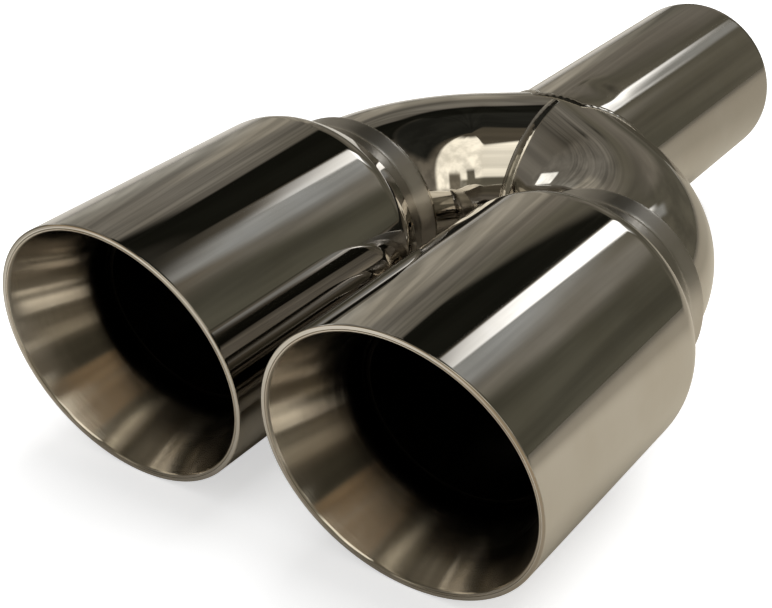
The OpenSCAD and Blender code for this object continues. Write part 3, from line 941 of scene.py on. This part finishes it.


# %% [markdown]
# Each card is placed by bearing (0 is +Y, 90 is +X) and by height above the horizon, both
# in degrees. They were chosen one by one: a band on the metal was followed out into the room
# by its reflection, a card was hung there, and it was moved until the band sat as in the
# photograph. A later card covers an earlier one, so a wall comes before what hangs on it.

# %% Cards
# Each card: bearing, half its width, height, half its height, softness of the two, colour.
CARDS = [
    # Walls on the left and behind, and the dark ceiling.
    (-75.0, 52.0, 12.0, 34.0, 14.0, 24.0, (0.215, 0.20, 0.17)),
    (-50.0, 15.0, -2.0, 14.0, 8.0, 18.0, (0.36, 0.345, 0.30)),
    (12.0, 42.0, 12.0, 24.0, 16.0, 12.0, (0.132, 0.122, 0.092)),
    (42.0, 12.0, 16.0, 22.0, 8.0, 14.0, (0.10, 0.095, 0.07)),
    (0.0, 66.0, 72.0, 24.0, 16.0, 10.0, (0.022, 0.022, 0.018)),
    # Bright panel on the right.
    (105.0, 25.0, 50.0, 32.0, 8.0, 7.0, (1.5, 1.42, 1.2)),
    (138.0, 12.0, 26.0, 8.0, 5.0, 5.0, (1.0, 0.95, 0.8)),
    # Dark wall beside the lamp, the glow on its right, and the lamp.
    (-20.0, 14.0, 19.0, 8.0, 8.0, 8.0, (0.21, 0.19, 0.155)),
    (-13.5, 13.0, 42.0, 8.0, 2.0, 3.0, (0.011, 0.011, 0.008)),
    (-32.0, 7.0, 50.0, 7.5, 2.0, 4.0, (0.012, 0.012, 0.009)),
    (24.0, 8.0, 33.0, 7.0, 8.0, 7.0, (0.24, 0.225, 0.19)),
    (17.0, 8.0, 42.0, 5.5, 8.0, 7.0, (0.42, 0.43, 0.42)),
    (5.5, 5.0, 36.5, 6.5, 1.6, 8.0, (2.2, 2.22, 2.2)),
    # Paler patches on the left and under the lamp, and a small bright card far left.
    (-38.0, 7.0, 10.0, 12.0, 5.0, 6.0, (0.36, 0.33, 0.27)),
    (6.0, 3.0, 27.5, 4.0, 3.0, 4.0, (0.33, 0.33, 0.31)),
    (-81.0, 10.0, 20.0, 5.5, 2.0, 2.0, (1.7, 1.7, 1.62)),
    # Front wall, and the upper part and corners of the bright panel.
    (180.0, 62.0, 8.0, 54.0, 12.0, 16.0, (0.17, 0.155, 0.115)),
    (139.0, 26.0, 62.0, 21.0, 4.0, 6.0, (1.5, 1.42, 1.2)),
    (120.0, 9.0, 38.0, 9.0, 4.0, 4.0, (1.35, 1.28, 1.08)),
    (152.0, 11.0, 38.0, 8.0, 3.0, 4.0, (1.35, 1.28, 1.08)),
    # Warm light low in front, with a brighter patch in it.
    (-162.0, 34.0, -44.0, 36.0, 4.0, 4.0, (0.41, 0.305, 0.185)),
    (-134.0, 12.0, -46.0, 9.0, 4.0, 4.0, (1.15, 1.09, 0.96)),
    # Strips that the liners in the mouths reflect, from dark to bright.
    (-134.0, 9.0, 10.0, 16.0, 3.0, 5.0, (0.07, 0.068, 0.048)),
    (-151.0, 12.0, 44.0, 12.0, 4.0, 4.0, (0.60, 0.55, 0.43)),
    (180.0, 18.0, 52.0, 8.0, 4.0, 5.0, (0.30, 0.275, 0.21)),
    (110.0, 9.0, 14.0, 24.0, 4.0, 8.0, (0.25, 0.22, 0.165)),
    (123.0, 5.0, 0.0, 26.0, 3.0, 8.0, (0.34, 0.32, 0.255)),
    (134.0, 5.0, 2.0, 14.0, 3.0, 5.0, (0.05, 0.05, 0.04)),
    (141.5, 5.0, -34.0, 18.0, 2.5, 6.0, (1.3, 1.24, 1.02)),
]
print("cards:", len(CARDS))

# %% [markdown]
# The dome starts as one tone that darkens upwards, and the cards go over it in turn. A
# soft cloud then makes every card a little uneven, and narrow upright slats break up the
# left wall, so that the metal shows it as streaks and not as one flat tone.

# %% Dome
SLATS_AT, SLATS_HALF = -44.0, 19.0
room_mat, room_light = glow("room_of_cards")
place = add(room_mat, "TexCoord").outputs["Object"]
way = add(room_mat, "SeparateXYZ", {
    0: add(room_mat, "VectorMath", {0: place}, operation="NORMALIZE").outputs[0]}).outputs
bearing = maths(room_mat, "MULTIPLY", maths(room_mat, "ARCTAN2", way["X"], way["Y"]), DEGREES)
height = maths(room_mat, "MULTIPLY", maths(room_mat, "ARCSINE", way["Z"]), DEGREES)
base = add(room_mat, "ValToRGB", {"Fac": spread(room_mat, height, -20.0, 90.0, 0.0, 1.0)})
base.color_ramp.elements[0].color = (0.30, 0.27, 0.22, 1)
base.color_ramp.elements[1].color = (0.10, 0.085, 0.06, 1)
colour = base.outputs["Color"]
for at, half, up, half_up, soft, soft_up, card in CARDS:
    mask = maths(room_mat, "MULTIPLY", band(room_mat, bearing, at, half, soft),
                 band(room_mat, height, up, half_up, soft_up))
    colour = mixed(room_mat, mask, colour, card)

cloud = noise(room_mat, place, 0.9, 3.0, 0.55)
upright = add(room_mat, "CombineXYZ", {0: maths(room_mat, "MULTIPLY", bearing, 0.55),
                                       1: maths(room_mat, "MULTIPLY", height, 0.03)})
lines = noise(room_mat, upright.outputs[0], 1.0, 2.0)
where = band(room_mat, bearing, SLATS_AT, SLATS_HALF, 8.0)
change = maths(room_mat, "MULTIPLY", where, spread(room_mat, lines, 0.38, 0.62, -0.2, 0.16))
slats = maths(room_mat, "ADD", 1.0, change)
level = maths(room_mat, "MULTIPLY", spread(room_mat, cloud, 0.3, 0.7, 0.78, 1.2), slats)
grey = add(room_mat, "CombineXYZ", {0: level, 1: level, 2: level}).outputs[0]
shaded = mixed(room_mat, 1.0, colour, grey, blend_type="MULTIPLY")
join(room_mat, shaded, room_light.inputs["Color"])

room = grid_piece("room", sphere_points(DOME_R), False, True)
room.data.materials.append(room_mat)
room.visible_camera = room.visible_diffuse = room.visible_shadow = False

# %% [markdown]
# The part stands on a pale floor. A plain white floor would wash out the undersides, which
# are dark and warm in the photograph, so reflections don't see it. To the camera the floor
# glows a little and so reads as white paper, and it keeps the soft shadow of the part.

# %% Floor
FLOOR_Z, FLOOR_HALF, FLOOR_LIFT = -48.6, 6000.0, 0.56


def flat_sheet(name, x_half, y_near, y_far, z):
    """Level sheet facing up, in millimetres, between two distances along Y."""
    x, y = np.meshgrid(np.linspace(-x_half, x_half, 5), np.linspace(y_near, y_far, 5))
    points = np.stack([x, y, 0 * x + z], axis=-1).reshape(-1, 3)
    faces = grid_faces(5, 5, False, False)
    return put_mesh(name, points, faces, [], np.zeros((len(faces), 4, 2)))


floor_mat, floor_shader = new_material("pale_floor")
floor_shader.inputs["Base Color"].default_value = (0.8, 0.8, 0.8, 1)
floor_shader.inputs["Roughness"].default_value = 0.9
floor_shader.inputs["Emission Color"].default_value = (1, 1, 1, 1)
rays = add(floor_mat, "LightPath").outputs
seen = maths(floor_mat, "MAXIMUM", rays["Is Camera Ray"], rays["Is Glossy Ray"])
seen = maths(floor_mat, "MAXIMUM", seen, rays["Is Transmission Ray"])
join(floor_mat, maths(floor_mat, "MULTIPLY", seen, FLOOR_LIFT), floor_shader.inputs["Emission Strength"])
floor = flat_sheet("floor", FLOOR_HALF, -FLOOR_HALF, FLOOR_HALF, FLOOR_Z)
floor.data.materials.append(floor_mat)
floor.visible_glossy = False

# %% [markdown]
# What the undersides reflect is a sheet of warm paper, a hair above the floor, that only
# reflections see. It is darker towards the back, and paler in front and far on the left, which
# is painted light falling on it. In front of the mouths it thins out, so that they look past it
# into the room.

# %% Warm paper
PAPER_Z, PAPER_HALF, PAPER_FRONT = -48.52, 5900.0, -390.0
paper_mat, paper_shader = new_material("warm_paper")
spot = object_axes(paper_mat)
# Paler in front and far on the left: painted light falling on the paper. Darker towards the back.
behind = spread(paper_mat, spot["Y"], -0.1, 0.12, 0.0, 1.0)
left = spread(paper_mat, spot["X"], -0.24, -0.14, 1.0, 0.0)
tone = mixed(paper_mat, behind, (0.56, 0.51, 0.41), (0.36, 0.325, 0.255))
tone = mixed(paper_mat, left, tone, (0.62, 0.59, 0.53))
join(paper_mat, tone, paper_shader.inputs["Base Color"])
join(paper_mat, spread(paper_mat, spot["Y"], -0.385, -0.285, 0.0, 1.0), paper_shader.inputs["Alpha"])
paper_shader.inputs["Roughness"].default_value = 0.9
paper = flat_sheet("paper", PAPER_HALF, PAPER_FRONT, PAPER_HALF, PAPER_Z)
paper.data.materials.append(paper_mat)
paper.visible_camera = paper.visible_diffuse = False
paper.visible_shadow = paper.visible_transmission = False
print("paper", round(PAPER_Z - FLOOR_Z, 2), "mm above the floor")

# %% [markdown]
# The world is plain white where it is looked at, which gives the white background, and
# dimmer where it only gives light. One large soft lamp overhead adds direction, so that
# the shadow under the part has a soft core. Reflections don't see this lamp, because the
# white band that the sleeves show is already a card on the dome.

# %% World and lamp
LIGHT_LEVEL, SEEN_LEVEL = 0.55, 1.0
LAMP_SIZE, LAMP_WATTS, LAMP_AT = 1.2, 14.0, (0.1, 0.2, 1.2)

world = bpy.data.worlds.new("plain_world")
bpy.context.scene.world = world
world.use_nodes = True
world.node_tree.nodes.clear()
paths = add(world, "LightPath").outputs
looked_at = maths(world, "MAXIMUM", paths["Is Camera Ray"], paths["Is Glossy Ray"])
looked_at = maths(world, "MAXIMUM", looked_at, paths["Is Transmission Ray"])
strength = add(world, "MapRange", {"Value": looked_at, "To Min": LIGHT_LEVEL, "To Max": SEEN_LEVEL})
backdrop = add(world, "Background", {"Color": (1, 1, 1, 1), "Strength": strength.outputs["Result"]})
world_out = world.node_tree.nodes.new("ShaderNodeOutputWorld")
join(world, backdrop.outputs["Background"], world_out.inputs["Surface"])

overhead = bpy.data.lights.new("overhead", "AREA")
overhead.shape, overhead.size, overhead.size_y = "RECTANGLE", LAMP_SIZE, LAMP_SIZE
overhead.energy = LAMP_WATTS
lamp = bpy.data.objects.new("overhead", overhead)
lamp.location = LAMP_AT
lamp.rotation_euler = (math.radians(-14), math.radians(5), 0)
bpy.context.scene.collection.objects.link(lamp)
lamp.visible_glossy = lamp.visible_camera = False
bpy.context.scene.view_settings.view_transform = "Standard"
print("lamp", LAMP_WATTS, "watts at", LAMP_AT)
